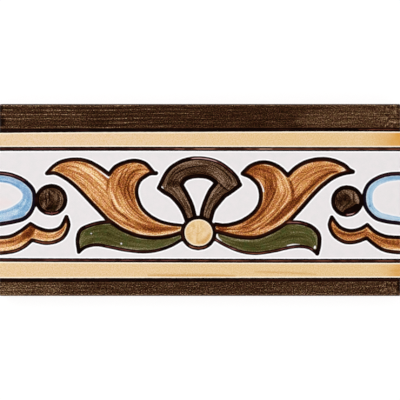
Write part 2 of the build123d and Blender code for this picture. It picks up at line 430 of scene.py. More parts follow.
# Places that the colour missed, where the white glaze shows: half the width at each end, and where
BARE_STROKES = [
    (0.05, 0.5, [(-54.6, 17.1), (-52, 15.5), (-48.6, 13.3), (-45.8, 11.3)]),
    (0.1, 0.4, [(28.4, 10.9), (30.2, 8.6), (31.4, 6), (31.8, 4.2)]),
    (0.55, 0.2, [(8.3, -17.2), (8.9, -18.8), (10.8, -20.4)]),
    (0.3, 0.35, [(43.6, -22.9), (46.6, -22.3), (49.6, -22.5)]),
    (0.4, 0.55, [(57.5, -23.2), (57.4, -23.9)]),
    (0.5, 0.3, [(-19.3, 6.6), (-18.4, 5.6)]),
    (0.3, 0.3, [(-54.5, -16.7), (-54.3, -16.8)]),
    (0.4, 0.4, [(-39.4, -21.7), (-39.3, -21.9)]),
    (0.1, 0.25, [(-84.7, -3.4), (-85.7, -5.3), (-87.2, -6.7)]),
]

# Stretches where the ink was watery: its middle paled and the pigment pooled at its two edges
WATERY_STROKES = [
    (0.85, [(-12, 25.5), (8, 25.5), (36, 25.5)]),
    (0.7, [(30, 25.5), (68, 25.4), (106, 25.4)]),
    (0.5, [(-106, 25.5), (-60, 25.5), (-8, 25.5)]),
    (0.6, [(-106, -29.9), (-50, -30.1), (4, -30.3)]),
    (0.7, [(0, -30.3), (56, -30.4), (106, -30.4)]),
    (0.6, [(-47, -23.2), (-36, -25.2), (-20, -24.9)]),
    (0.45, [(-57, -13.4), (-50, -11.4), (-44, -11)]),
    (0.8, [(8, -20), (18, -24.8), (30, -26.7), (44, -23.9), (56, -24.6)]),
    (0.8, [(44, -11.4), (47, -11.2), (53, -12.2)]),
    (0.2, [(10, -16.4), (18, -18.2), (28, -18.7)]),
    (1.0, [(-4, 20.8), (1, 21), (8, 19.2)]),
    (0.5, [(7, 19.6), (12, 17.2), (16, 13.8)]),
    (0.8, [(-106, 13.5), (-97, 13), (-88, 9.6)]),
    (0.4, [(-101, -12.2), (-98, -11.7), (-93, -10.8)]),
    (0.7, [(-106, -26.7), (-92, -25.2), (-86, -21.6)]),
    (0.7, [(-82, -20.5), (-75, -21.3), (-68, -18.6)]),
    (0.9, [(-5, -22.9), (-1, -24.2), (3, -23.3)]),
    (0.9, [(-77, -6.4), (-74, -6.9), (-71.4, -6.2)]),
    (1.0, [(73.6, -7.5), (75.2, -7.4), (77, -6.8)]),
    (0.4, [(106, 13.3), (94, 12.8), (88, 10.7)]),
    (0.15, [(48, 16.3), (56, 20), (66, 20), (73, 16.6)]),
    (0.25, [(-70, 19), (-63, 20.3), (-57, 19.6)]),
    (0.15, [(86, -8), (92, -10.9), (106, -12.2)]),
    (0.2, [(30, -18.3), (38, -14.8), (43, -11.6)]),
    (0.35, [(69, -19.4), (75, -21.1), (81, -19.8)]),
    (0.4, [(92, -25.2), (98, -26.2), (106, -26.7)]),
    (0.3, [(20, -40), (60, -40), (106, -39.8)]),
    (0.6, [(80, 35.3), (94, 35.2), (108, 35.2)]),
    (0.25, [(-9.2, -13.4), (-9, -16), (-8.4, -19)]),
]


def spline(points, step=0.7):
    """A smooth curve through the points, as many short straight steps (a centripetal Catmull-Rom)."""
    p = np.array(points, float)
    p = np.vstack([2 * p[0] - p[1], p, 2 * p[-1] - p[-2]])
    knots = np.concatenate([[0], np.cumsum(np.sqrt(np.linalg.norm(np.diff(p, axis=0), axis=1)))])
    curve = []
    for i in range(1, len(p) - 2):
        a, b, c, d = knots[i - 1:i + 3]
        count = max(2, math.ceil(np.linalg.norm(p[i + 1] - p[i]) / step))
        t = np.linspace(b, c, count, endpoint=False)[:, None]
        ab = ((b - t) * p[i - 1] + (t - a) * p[i]) / (b - a)
        bc = ((c - t) * p[i] + (t - b) * p[i + 1]) / (c - b)
        cd = ((d - t) * p[i + 1] + (t - c) * p[i + 2]) / (d - c)
        abc = ((c - t) * ab + (t - a) * bc) / (c - a)
        bcd = ((d - t) * bc + (t - b) * cd) / (d - b)
        curve.append(((c - t) * abc + (t - b) * bcd) / (c - b))
    curve.append(p[-2:-1])
    return np.vstack(curve)


CURVES = {name: spline(points) for name, points in LINES.items()}


def joined(names):
    """Several named lines, end to end, as one."""
    return np.vstack([CURVES[name] for name in names])


def nearest(line, at):
    """For each point: how far off the line it is, how far along, the line's whole length, and the side."""
    best = np.full(len(at), np.inf)
    along = np.zeros(len(at))
    side = np.ones(len(at))
    done = 0.0
    for p, q in zip(line[:-1], line[1:]):
        step = q - p
        length = math.hypot(*step)
        if length == 0:
            continue
        part = np.clip(((at - p) @ step) / length ** 2, 0, 1)
        away = np.hypot(*(at - p - part[:, None] * step).T)
        closer = away < best
        best[closer] = away[closer]
        along[closer] = done + part[closer] * length
        off = at[closer] - p
        side[closer] = np.where(step[0] * off[:, 1] < step[1] * off[:, 0], -1, 1)
        done += length
    return best, along, done, side


def near_box(line, at, margin):
    """Which points lie within a margin of the line's box."""
    low = line.min(axis=0) - margin
    high = line.max(axis=0) + margin
    return np.flatnonzero(((at > low) & (at < high)).all(axis=1))


def inside(outline, at):
    """Which points lie within a closed outline."""
    odd = np.zeros(len(at), bool)
    x, y = at.T
    for p, q in zip(outline, np.roll(outline, -1, axis=0)):
        if p[1] == q[1]:
            continue
        crosses = (p[1] > y) != (q[1] > y)
        odd ^= crosses & (x < p[0] + (y - p[1]) * (q[0] - p[0]) / (q[1] - p[1]))
    return odd


# Depths are kept this far out from a line, and no further
FAR = 3.0


def ink_depths(at):
    """How deep each point lies in the ink, how far to one side of its middle, and how watery the ink is."""
    depth = np.full(len(at), -FAR)
    aside = np.full(len(at), FAR)
    for name, curve in CURVES.items():
        if name in GUIDES:
            continue
        first, last = WIDTHS.get(name, LINE_WIDTH)
        near = near_box(curve, at, FAR + max(first, last) / 2)
        away, along, length, side = nearest(curve, at[near])
        half = (first + (last - first) * along / length) / 2
        deeper = half - away > depth[near]
        depth[near[deeper]] = (half - away)[deeper]
        aside[near[deeper]] = (away * side)[deeper]
    watery = np.zeros(len(at))
    for strength, points in WATERY_STROKES:
        lay_stroke(watery, at, strength, WATERY_HALF_WIDTH, points)
    return np.stack([depth, aside, watery], axis=1)


def fill_depths(at):
    """How deep each point lies in each colour, and how the brush ran there.

    The brush columns are how far along its stroke a point is, with each shape on a stretch of its own,
    what share of the shape's width it is across, and that width. They hold a little past its edge.
    """
    stretch = 200.0
    lap = 0.6
    depths = {colour: np.full(len(at), -FAR) for colour in COLOURS}
    brush = np.zeros((len(at), 3))
    for number, (colour, one_side, other_side) in enumerate(SHAPES):
        one, other = joined(one_side), joined(other_side)
        outline = np.vstack([one[::-1], other])
        near = near_box(outline, at, FAR)
        points = at[near]
        edges = [name for name in one_side + other_side if name not in SEAMS]
        edge = np.min([nearest(CURVES[name], points)[0] for name in edges], axis=0)
        depth = np.where(inside(outline, points), edge, -edge)
        depths[colour][near] = np.maximum(depths[colour][near], depth)
        from_one, along_one, _, _ = nearest(joined(BRUSH_SIDES.get(one_side[0], one_side)), points)
        from_other, along_other, _, _ = nearest(other, points)
        width = np.maximum(from_one + from_other, 1e-6)
        across = from_one / width
        along = along_one * (1 - across) + along_other * across + number * stretch
        within = depth > -lap
        brush[near[within]] = np.stack([along, across, width], axis=1)[within]
    return depths, brush


def lay_stroke(amount, at, strength, half_width, points):
    """Adds one soft stroke of the brush, which thins out towards its two ends."""
    curve = spline(points)
    near = near_box(curve, at, half_width)
    away, along, length, _ = nearest(curve, at[near])
    width = half_width * (1 - STROKE_TAPER * np.abs(2 * along / length - 1) ** 3)
    cover = np.clip(1 - away / width, 0, 1)
    cover = strength * cover * cover * (3 - 2 * cover)
    amount[near] = 1 - (1 - amount[near]) * (1 - cover)


def stroke_marks(at):
    """The dark and the pale strokes over the fills, and how deep each point lies in a missed place."""
    dark, pale = np.zeros(len(at)), np.zeros(len(at))
    for strength, half_width, points in DARK_STROKES:
        lay_stroke(dark, at, strength, half_width * STROKE_SPREAD, points)
    for strength, half_width, points in PALE_STROKES:
        lay_stroke(pale, at, strength, half_width * STROKE_SPREAD, points)
    bare = np.full(len(at), -FAR)
    for first, last, points in BARE_STROKES:
        curve = spline(points)
        near = near_box(curve, at, FAR)
        away, along, length, _ = nearest(curve, at[near])
        half_width = first + (last - first) * along / length
        bare[near] = np.maximum(bare[near], half_width - away)
    return np.stack([dark, pale, bare], axis=1)


def wobble(points, size, seed):
    """Smooth noise from -1 to 1 at each point, with features of about this size."""
    return np.array([noise.noise(Vector((x / size, y / size, seed))) for x, y in points])


def ring_profile():
    """How far out and how far down each ring of the glaze lies, from the flat face over the rim.

    The third column is the share of the run-down that the ring has gone down the side.
    """
    plateau = corner_radius - rim_radius
    rings = [(plateau, 0.0, 0.0)]
    for degrees in (22.5, 45, 67.5, 90):
        turn = math.radians(degrees)
        rings.append((plateau + rim_radius * math.sin(turn), rim_radius * (1 - math.cos(turn)), 0.0))
    for share in side_shares:
        rings.append((corner_radius, rim_radius, share))
    return np.array(rings)


def grid_lines():
    """Places of the grid's columns and rows over the flat face, inside the rounded corners."""
    x_end = half_length - corner_radius
    y_end = half_width - corner_radius
    columns = np.linspace(-x_end, x_end, round(2 * x_end / grid_step) + 1)
    stretches = [(-y_end, painted_bottom, plain_row_step), (painted_bottom, painted_top, row_step),
                 (painted_top, y_end, plain_row_step)]
    rows = [np.linspace(a, b, round((b - a) / step), endpoint=False) for a, b, step in stretches]
    return columns, np.concatenate([*rows, [y_end]])


def beyond(count, rings):
    """For each line of the grid with its rings: its core line, how many rings out it is, and which way."""
    index = np.arange(-rings, count + rings)
    core = np.clip(index, 0, count - 1)
    return core, np.abs(index - core), np.sign(index - core)


def glaze_skin():
    """The glaze's outer skin on a grid: place, height, unrolled face, and drop over the rim."""
    columns, rows = grid_lines()
    profile = np.vstack([[0, 0, 0], ring_profile()])
    rings = len(profile) - 1
    core_x, out_x, way_x = (v[:, None] for v in beyond(len(columns), rings))
    core_y, out_y, way_y = (v[None, :] for v in beyond(len(rows), rings))
    ring = np.maximum(out_x, out_y)
    least = np.minimum(out_x, out_y) / np.maximum(ring, 1)
    angle = np.where(out_x >= out_y, least, 2 - least) * math.pi / 4
    way = np.stack([np.cos(angle) * way_x, np.sin(angle) * way_y], axis=2)
    flat = np.stack(np.broadcast_arrays(columns[core_x], rows[core_y]), axis=2)

    rim = flat + way * corner_radius
    side = ring > rings - len(side_shares)
    depth = np.full(ring.shape, run_down)
    changes = run_down_change * wobble(rim[side], 9.0, 3.1) + run_down_ripple * wobble(rim[side], 3.0, 7.7)
    depth[side] = np.maximum(least_run_down, run_down + changes)

    out, down, share = profile[ring].transpose(2, 0, 1)
    thin = np.where(share == 1, -edge_sink - glaze_proud, -glaze_proud * share ** 6)
    slope = np.clip(down / rim_radius, 0, 1)
    stand = (glaze_proud + thin) * (ring > 0)
    place = flat + way * (out + stand * np.sin(slope * math.pi / 2))[..., None]
    height = face_height - down - share * depth + glaze_proud * np.where(share > 0, 0, 1 - slope)
    arc_gain = 0.57  # over the rounding, the way down adds this share to the way out
    drop = np.maximum(0, out - profile[1, 0]) + down * arc_gain + share * depth
    spread = np.abs(place - flat).max(axis=2)
    face = flat + way * np.maximum(spread, out + share * depth)[..., None]
    return place, height, face, drop


def inner_rings(place, height):
    """Loops of the glaze's underside, just within the clay: up the side, over the rim, under the face."""
    loop = edge_loop(place.shape[:2])
    outer = place[loop[:, 0], loop[:, 1]]
    bottom = height[loop[:, 0], loop[:, 1]]
    core = np.array([half_length - corner_radius, half_width - corner_radius])
    centre = np.clip(outer, -core, core)
    way = (outer - centre) / np.linalg.norm(outer - centre, axis=1)[:, None]
    lift = face_height - glaze_bite
    reach = corner_radius - glaze_bite
    plateau = corner_radius - rim_radius
    level = np.ones(len(loop))
    steps = [(reach, bottom), (reach, level * (lift - plateau)), (plateau, level * lift)]
    return loop, [np.column_stack([centre + way * out, z]) for out, z in steps]


def edge_loop(shape):
    """Grid places all the way round the edge of a grid, anticlockwise seen from above."""
    nx, ny = shape
    low = [(i, 0) for i in range(nx - 1)]
    right = [(nx - 1, j) for j in range(ny - 1)]
    high = [(i, ny - 1) for i in range(nx - 1, 0, -1)]
    left = [(0, j) for j in range(ny - 1, 0, -1)]
    return np.array(low + right + high + left)


def relief(face, drop, ink, depths):
    """How the fired surface rises and falls: slow waves in the glaze, and the paint standing on it."""
    waves = wave_height * wobble(face, 17.0, 1.3) + ripple_height * wobble(face, 5.5, 4.2)
    painted = np.max([depths[colour] for colour in COLOURS], axis=0)
    paint = paint_height * np.clip(painted - 0.6, 0, 1)
    lines = ink_height * np.clip(2 * ink[:, 0] + 0.5, 0, 1)
    return (waves + paint + lines) * np.clip(1 - drop / 0.4, 0, 1)


def glaze_mesh():
    """The glaze as one closed mesh with the painting in its attributes."""
    place, height, face, drop = glaze_skin()
    nx, ny = drop.shape
    at = face.reshape(-1, 2) * drawing_scale
    fall = drop.ravel()
    ink = ink_depths(at)
    depths, brush = fill_depths(at)
    marks = stroke_marks(at)
    skin = np.column_stack([place.reshape(-1, 2), height.ravel() + relief(at, fall, ink, depths)])

    loop, under = inner_rings(place, height)
    number = np.arange(nx * ny).reshape(nx, ny)
    corners = [number[:-1, :-1], number[1:, :-1], number[1:, 1:], number[:-1, 1:]]
    faces = np.stack([c.ravel() for c in corners], axis=1).tolist()
    ring = number[loop[:, 0], loop[:, 1]]
    start = nx * ny
    for _ in under:
        following = np.arange(start, start + len(loop))
        around = [ring, following, np.roll(following, -1), np.roll(ring, -1)]
        faces += np.stack(around, axis=1).tolist()
        ring = following
        start += len(loop)
    faces.append(ring[::-1].tolist())

    vertices = np.vstack([skin, *under]) * MM
    mesh = bpy.data.meshes.new("painted_glaze")
    mesh.from_pydata(vertices.tolist(), [], faces)
    hidden = len(vertices) - nx * ny
    layers = {
        "face": np.column_stack([at, fall]),
        "ink": ink,
        "brush": brush,
        "fill_a": np.stack([depths["ochre"], depths["green"], depths["umber"]], axis=1),
        "fill_b": np.stack([depths["blue"], depths["cream"], depths["brown"]], axis=1),
        "marks": marks,
    }
    for name, values in layers.items():
        padded = np.vstack([values, np.full((hidden, 3), -FAR)])
        layer = mesh.attributes.new(name, "FLOAT_VECTOR", "POINT")
        layer.data.foreach_set("vector", padded.astype(np.float32).ravel())
    add_bake_map(mesh, nx, ny)
    mesh.shade_smooth()
    mesh.validate()
    return mesh


def add_bake_map(mesh, nx, ny):
    """A texture map that the painted skin fills, with the hidden underside in a thin strip below it."""
    strip = 0.02
    edge = 0.004
    columns = np.linspace(edge, 1 - edge, nx)
    rows = np.linspace(strip, 1 - edge, ny)
    across, up = np.meshgrid(columns, rows, indexing="ij")
    hidden = len(mesh.vertices) - nx * ny
    rest = np.column_stack([np.linspace(edge, 1 - edge, hidden), np.full(hidden, strip / 4)])
    spots = np.vstack([np.column_stack([across.ravel(), up.ravel()]), rest])
    corner_vertices = np.empty(len(mesh.loops), np.int32)
    mesh.loops.foreach_get("vertex_index", corner_vertices)
    layer = mesh.uv_layers.new(name="OFBake")
    layer.data.foreach_set("uv", spots[corner_vertices].astype(np.float32).ravel())


def srgb(red, green, blue):
    """A colour given as it looks on a screen, from 0 to 255, in the linear values that nodes use."""
    linear = [((c / 255 + 0.055) / 1.055) ** 2.4 if c > 10 else c / 255 / 12.92 for c in (red, green, blue)]
    return (*linear, 1.0)


class Nodes:
    """The nodes of one material, with short calls for those used here. A value is a number or a socket."""

    def __init__(self, name):
        self.material = bpy.data.materials.new(name)
        self.material.use_nodes = True
        self.tree = self.material.node_tree
        self.shader = self.tree.nodes["Principled BSDF"]

    def feed(self, socket, value):
        if isinstance(value, bpy.types.NodeSocket):
            self.tree.links.new(value, socket)
        else:
            socket.default_value = value

    def add(self, kind, inputs, **settings):
        node = self.tree.nodes.new(kind)
        for key, value in settings.items():
            setattr(node, key, value)
        for key, value in inputs.items():
            self.feed(node.inputs[key], value)
        return node

    def math(self, operation, a, b=0.0):
        return self.add("ShaderNodeMath", {0: a, 1: b}, operation=operation).outputs[0]

    def plus(self, *values):
        total = values[0]
        for value in values[1:]:
            total = self.math("ADD", total, value)
        return total

    def times(self, *values):
        product = values[0]
        for value in values[1:]:
            product = self.math("MULTIPLY", product, value)
        return product

    def less(self, value):
        """One minus the value."""
        return self.math("SUBTRACT", 1.0, value)

    def step(self, value, low, high):
        """0 below low, 1 above high, with a soft step between."""
        inputs = {"Value": value, "From Min": low, "From Max": high}
        return self.add("ShaderNodeMapRange", inputs, interpolation_type="SMOOTHSTEP").outputs["Result"]

    def mix(self, factor, a, b):
        return self.add("ShaderNodeMix", {0: factor, 6: a, 7: b}, data_type="RGBA").outputs[2]

    def ramp(self, value, *stops):
        """A colour that goes through the stops, each a value and a colour, as the value rises."""
        node = self.add("ShaderNodeValToRGB", {0: value})
        elements = node.color_ramp.elements
        while len(elements) < len(stops):
            elements.new(1.0)
        for element, (position, colour) in zip(elements, stops):
            element.position = position
            element.color = colour
        return node.outputs["Color"]

    def swing(self, value, size):
        """A noise from 0 to 1 turned into a change about zero."""
        return self.times(self.plus(value, -0.5), size)

    def vector(self, x, y, z=0.0):
        return self.add("ShaderNodeCombineXYZ", {0: x, 1: y, 2: z}).outputs[0]

    def noise(self, vector, scale, detail=2.0, roughness=0.5):
        inputs = {"Vector": vector, "Scale": scale, "Detail": detail, "Roughness": roughness}
        return self.add("ShaderNodeTexNoise", inputs).outputs["Fac"]

    def sway(self, vector, scale, size):
        """Noise about zero, as far as size each way."""
        return self.swing(self.noise(vector, scale), 2 * size)

    def specks(self, vector, scale, radius):
        """1 in scattered round specks, 0 elsewhere."""
        cells = self.add("ShaderNodeTexVoronoi", {"Vector": vector, "Scale": scale, "Randomness": 1.0})
        return self.less(self.step(cells.outputs["Distance"], radius * 0.5, radius))

    def hairs(self, value, width):
        """1 along the thin lines where a noise passes its middle, 0 elsewhere."""
        return self.less(self.step(self.math("ABSOLUTE", self.plus(value, -0.5)), 0.0, width))

    def attribute(self, name):
        node = self.add("ShaderNodeAttribute", {}, attribute_name=name)
        return self.add("ShaderNodeSeparateXYZ", {0: node.outputs["Vector"]}).outputs

    def bump(self, height, distance):
        inputs = {"Height": height, "Distance": distance, "Strength": 1.0}
        return self.add("ShaderNodeBump", inputs).outputs[0]


class Painting:
    """What the glaze's vertices know of the painting, as sockets that each colour is mixed from."""

    def __init__(self, n):
        self.x, self.y, self.drop = n.attribute("face")
        self.ink, self.ink_aside, self.watery = n.attribute("ink")
        self.along, self.across, self.width = n.attribute("brush")
        self.ochre, self.green, self.umber = n.attribute("fill_a")
        self.blue, self.cream, self.brown = n.attribute("fill_b")
        self.dark, self.pale, self.bare = n.attribute("marks")
        self.dry = n.less(n.times(self.dark, 0.7))
        self.spot = n.vector(self.x, self.y)
        streak = n.vector(n.times(self.along, 0.06), n.times(self.across, 6.0))
        self.streak = n.noise(streak, 1.0, 2.0, 0.5)
        many = n.vector(n.times(self.along, 0.06), n.times(self.across, 17.0), 3.7)
        few = n.vector(n.times(self.along, 0.06), n.times(self.across, 8.0), 1.9)
        wide = n.step(self.width, 5.0, 10.0)
        fine_streak = n.plus(n.times(wide, n.noise(many, 1.0, 1.0, 0.6)),
                             n.times(n.less(wide), n.noise(few, 1.0, 1.0, 0.6)))
        self.fine_streak = n.step(fine_streak, 0.36, 0.64)
        hair = n.vector(n.times(self.along, 0.05), n.times(self.across, 9.0), 2.9)
        lifted = n.vector(n.times(self.along, 0.16), n.times(self.across, 5.0), 7.1)
        self.hair = n.times(n.hairs(n.noise(hair, 1.0, 1.0), 0.07), n.step(n.noise(lifted, 1.0), 0.4, 0.6))
        self.grain = n.noise(self.spot, 1.7, 3.0, 0.7)
        self.mottle = n.noise(self.spot, 0.28, 2.0, 0.5)
        self.cloud = n.noise(self.spot, 0.09, 2.0, 0.5)
        self.hue = n.step(n.noise(self.spot, 0.45, 3.0, 0.65), 0.38, 0.62)
        self.edge_sway = n.plus(n.sway(self.spot, 0.45, 0.22), n.sway(self.spot, 2.2, 0.12))
        self.beside_ink = n.step(self.ink, -0.95, -0.4)
        self.margin = n.times(n.step(self.ink, -0.7, -0.2), n.step(self.mottle, 0.36, 0.58))
        self.stripe = n.step(n.math("ABSOLUTE", self.y), 24.6, 25.2)
        self.halo = n.step(self.ink, -1.05, -0.45)


def field_colour(n, p):
    """White tin glaze, faintly mottled, pinkish in places, and brightest where it drew back from the ink."""
    body = n.mix(n.step(p.mottle, 0.35, 0.65), srgb(234, 228, 230), srgb(229, 226, 227))
    body = n.mix(n.times(n.step(p.grain, 0.3, 0.7), 0.6), body, srgb(237, 233, 232))
    body = n.mix(n.times(p.pale, 0.7), body, srgb(238, 221, 220))
    drawn_back = n.math("MAXIMUM", p.halo, n.times(n.step(p.blue, -0.6, 0.4), 0.6))
    return n.mix(drawn_back, body, srgb(254, 253, 254))


def brown_colour(n, p):
    """Manganese brown: wavy hairs along the tile, rows of pale beads on them, and a blotched right end."""
    low_band = n.step(n.times(p.y, -1.0), 0.0, 1.0)
    wave = n.plus(p.y, n.sway(p.spot, 0.018, 1.6))
    hairs = n.noise(n.vector(n.times(p.x, 0.09), n.times(wave, 1.7)), 1.0, 2.0, 0.6)
    rows = n.step(n.math("PINGPONG", wave, 1.05), 0.68, 1.0)
    kept = n.step(n.noise(n.vector(n.times(p.x, 0.02), n.times(wave, 0.4), 4.0), 1.0, 1.0), 0.25, 0.55)
    beads = n.step(n.noise(n.vector(n.times(p.x, 1.5), n.times(wave, 0.9), 8.0), 1.0, 2.0, 0.6), 0.4, 0.66)
    beaded = n.times(kept, n.plus(0.35, beads), n.less(n.times(n.step(p.x, -70.0, 30.0), 0.65)),
                     n.less(n.times(low_band, 0.6)))
    blotched = n.times(n.step(p.x, 82.0, 96.0), n.sway(p.spot, 0.6, 0.7))
    rim = n.step(n.math("ABSOLUTE", p.y), 46.2, 47.4)
    level = n.plus(0.24, n.times(p.pale, 0.26), n.times(p.dark, -0.6), n.times(low_band, 0.08),
                   n.times(rim, 0.12), blotched)
    grain = n.swing(p.grain, n.plus(2.4, n.times(low_band, 0.8)))
    tone = n.plus(level, n.swing(hairs, 0.8), grain, n.times(rows, beaded, 0.52))
    reddish = n.ramp(tone, (0.0, srgb(24, 5, 1)), (0.3, srgb(53, 26, 13)), (0.55, srgb(87, 54, 34)),
                     (0.8, srgb(138, 104, 77)), (1.0, srgb(196, 162, 132)))
    olive = n.ramp(tone, (0.0, srgb(16, 8, 1)), (0.3, srgb(46, 27, 9)), (0.55, srgb(80, 55, 27)),
                   (0.8, srgb(130, 105, 66)), (1.0, srgb(186, 162, 116)))
    return n.mix(n.times(p.hue, 0.6), reddish, olive)


def cream_colour(n, p):
    """Pale yellow wash, mottled pink and yellow, rusty at the right end and where it ran thick."""
    body = n.mix(n.step(p.x, -90.0, 90.0), srgb(237, 209, 182), srgb(232, 197, 141))
    body = n.mix(n.times(n.step(p.cloud, 0.5, 0.64), 0.35), body, srgb(240, 206, 176))
    low = n.step(n.times(p.y, -1.0), 28.0, 30.0)
    body = n.mix(n.times(low, 0.5), body, srgb(236, 202, 152))
    body = n.mix(n.times(p.hue, 0.45), body, srgb(231, 200, 140))
    body = n.mix(n.times(n.step(p.grain, 0.46, 0.66), 0.9), body, srgb(224, 182, 118))
    body = n.mix(n.times(n.less(n.step(p.grain, 0.34, 0.5)), 0.7), body, srgb(243, 216, 178))
    on_disc = n.less(p.stripe)
    body = n.mix(n.times(on_disc, n.step(p.mottle, 0.4, 0.6), 0.5), body, srgb(222, 184, 112))
    body = n.mix(n.times(on_disc, n.step(p.grain, 0.4, 0.62), 0.6), body, srgb(222, 180, 104))
    body = n.mix(n.times(on_disc, p.hue, 0.5), body, srgb(246, 224, 186))
    body = n.mix(n.times(p.pale, 0.7), body, srgb(236, 208, 178))
    smudge = n.plus(0.4, n.times(n.step(p.grain, 0.35, 0.6), 0.55))
    body = n.mix(n.times(p.dark, smudge), body, srgb(208, 150, 62))
    rusty = n.step(n.plus(p.x, n.sway(p.spot, 0.2, 5.0), n.times(low, -4.0)), 82.0, 105.0)
    body = n.mix(rusty, body, srgb(221, 154, 52))
    edge = n.times(p.beside_ink, n.plus(0.65, n.times(p.stripe, 0.25)), p.dry)
    return n.mix(edge, body, srgb(255, 247, 230))


def ochre_colour(n, p):
    """Iron ochre in visible strokes: sienna where the brush was full, peach where it ran dry."""
    streaks = n.times(p.dry, n.plus(n.swing(p.streak, 0.5), n.swing(p.fine_streak, 0.34)))
    tone = n.plus(0.44, n.times(p.dark, 0.5), n.times(p.pale, -0.48), streaks,
                  n.swing(p.grain, 2.0), n.times(p.hair, 0.16), n.times(p.margin, n.less(p.dark), -0.32))
    pinkish = n.ramp(tone, (0.0, srgb(252, 226, 200)), (0.2, srgb(236, 182, 130)), (0.4, srgb(215, 141, 84)),
                     (0.6, srgb(181, 98, 50)), (0.8, srgb(131, 57, 25)), (1.0, srgb(78, 26, 10)))
    golden = n.ramp(tone, (0.0, srgb(248, 228, 182)), (0.2, srgb(230, 182, 112)), (0.4, srgb(208, 144, 69)),
                    (0.6, srgb(178, 103, 40)), (0.8, srgb(129, 63, 19)), (1.0, srgb(78, 30, 8)))
    return n.mix(p.hue, pinkish, golden)


def green_colour(n, p):
    """Copper green darkened with brown, streaked along the sprig."""
    tone = n.plus(0.53, n.times(p.dark, 0.5), n.times(p.pale, -0.5), n.swing(p.streak, 0.9),
                  n.swing(p.fine_streak, 0.25), n.swing(p.grain, 1.9), n.times(p.margin, -0.35))
    body = n.ramp(tone, (0.0, srgb(166, 156, 124)), (0.25, srgb(110, 101, 60)), (0.5, srgb(82, 77, 35)),
                  (0.8, srgb(60, 53, 18)), (1.0, srgb(34, 30, 10)))
    return n.mix(n.times(n.step(p.mottle, 0.52, 0.66), 0.4), body, srgb(62, 82, 36))


def umber_colour(n, p):
    """Dark umber, dragged along the horseshoe and down the balls."""
    streaks = n.times(p.dry, n.plus(n.swing(p.streak, 0.9), n.swing(p.fine_streak, 0.4)))
    tone = n.plus(0.51, n.times(p.dark, 0.6), n.times(p.pale, -0.42), streaks, n.swing(p.grain, 2.3))
    body = n.ramp(tone, (0.0, srgb(184, 154, 134)), (0.25, srgb(123, 92, 67)), (0.5, srgb(80, 51, 31)),
                  (0.75, srgb(44, 20, 10)), (1.0, srgb(14, 4, 2)))
    return n.mix(n.times(n.step(p.mottle, 0.5, 0.64), 0.15), body, srgb(72, 56, 22))


def blue_colour(n, p):
    """Thin cobalt wash, uneven, and lilac in places."""
    tone = n.plus(0.56, n.times(p.dark, 0.4), n.times(p.pale, -0.4), n.swing(p.streak, 1.2),
                  n.swing(p.mottle, 0.8), n.swing(p.grain, 1.7))
    body = n.ramp(tone, (0.0, srgb(220, 230, 236)), (0.4, srgb(170, 202, 224)), (0.6, srgb(138, 180, 212)),
                  (1.0, srgb(88, 142, 190)))
    body = n.mix(n.times(n.step(p.cloud, 0.48, 0.6), 0.2), body, srgb(176, 182, 214))
    body = n.mix(n.times(n.step(p.x, 0.0, 1.0), 0.4), body, srgb(160, 196, 216))
    return n.mix(n.times(n.step(p.dark, 0.6, 0.9), 0.7), body, srgb(66, 96, 128))


def ink_colour(n, p):
    """Brown-black outline, reddish beside the ochre, with a paler middle where it was watery."""
    middle = n.less(n.step(n.math("ABSOLUTE", p.ink_aside), 0.12, 0.5))
    runs = n.noise(n.vector(n.times(p.x, 0.3), p.y), 0.3, 2.0, 0.6)
    faint = n.times(n.step(runs, 0.45, 0.7), 0.15)
    uneven = n.plus(0.4, n.times(n.step(runs, 0.38, 0.6), 0.5))
    wet = n.times(p.watery, n.math("MAXIMUM", uneven, n.step(p.watery, 0.8, 0.95)))
    pooled = n.times(middle, n.math("MAXIMUM", faint, wet))
    rusty = n.ramp(pooled, (0.0, srgb(13, 3, 1)), (0.3, srgb(58, 24, 14)), (0.6, srgb(116, 62, 44)),
                   (1.0, srgb(192, 146, 124)))
    purple = n.ramp(pooled, (0.0, srgb(13, 3, 1)), (0.3, srgb(58, 22, 18)), (0.6, srgb(114, 62, 56)),
                    (1.0, srgb(186, 152, 148)))
    inner = n.times(n.step(p.ochre, 0.15, 0.7), 0.7)
    round_disc = n.times(n.less(p.stripe), n.step(p.cream, -1.6, -0.8))
    by_ochre = n.math("MAXIMUM", round_disc, n.step(p.ochre, -1.4, -0.6))
    rust = n.math("MAXIMUM", n.times(p.stripe, n.step(p.x, -20.0, -4.0)), by_ochre)
    look = n.mix(inner, n.mix(rust, purple, rusty), srgb(68, 21, 6))
    return n.mix(n.times(n.step(p.blue, -0.8, 0.4), n.less(pooled), 0.7), look, srgb(12, 13, 34))


def lay(n, below, colour, depth, start, soft, strength=1.0):
    """Lays a colour over what is below it, where its depth is past start."""
    return n.mix(n.times(n.step(depth, start - soft, start + soft), strength), below, colour)


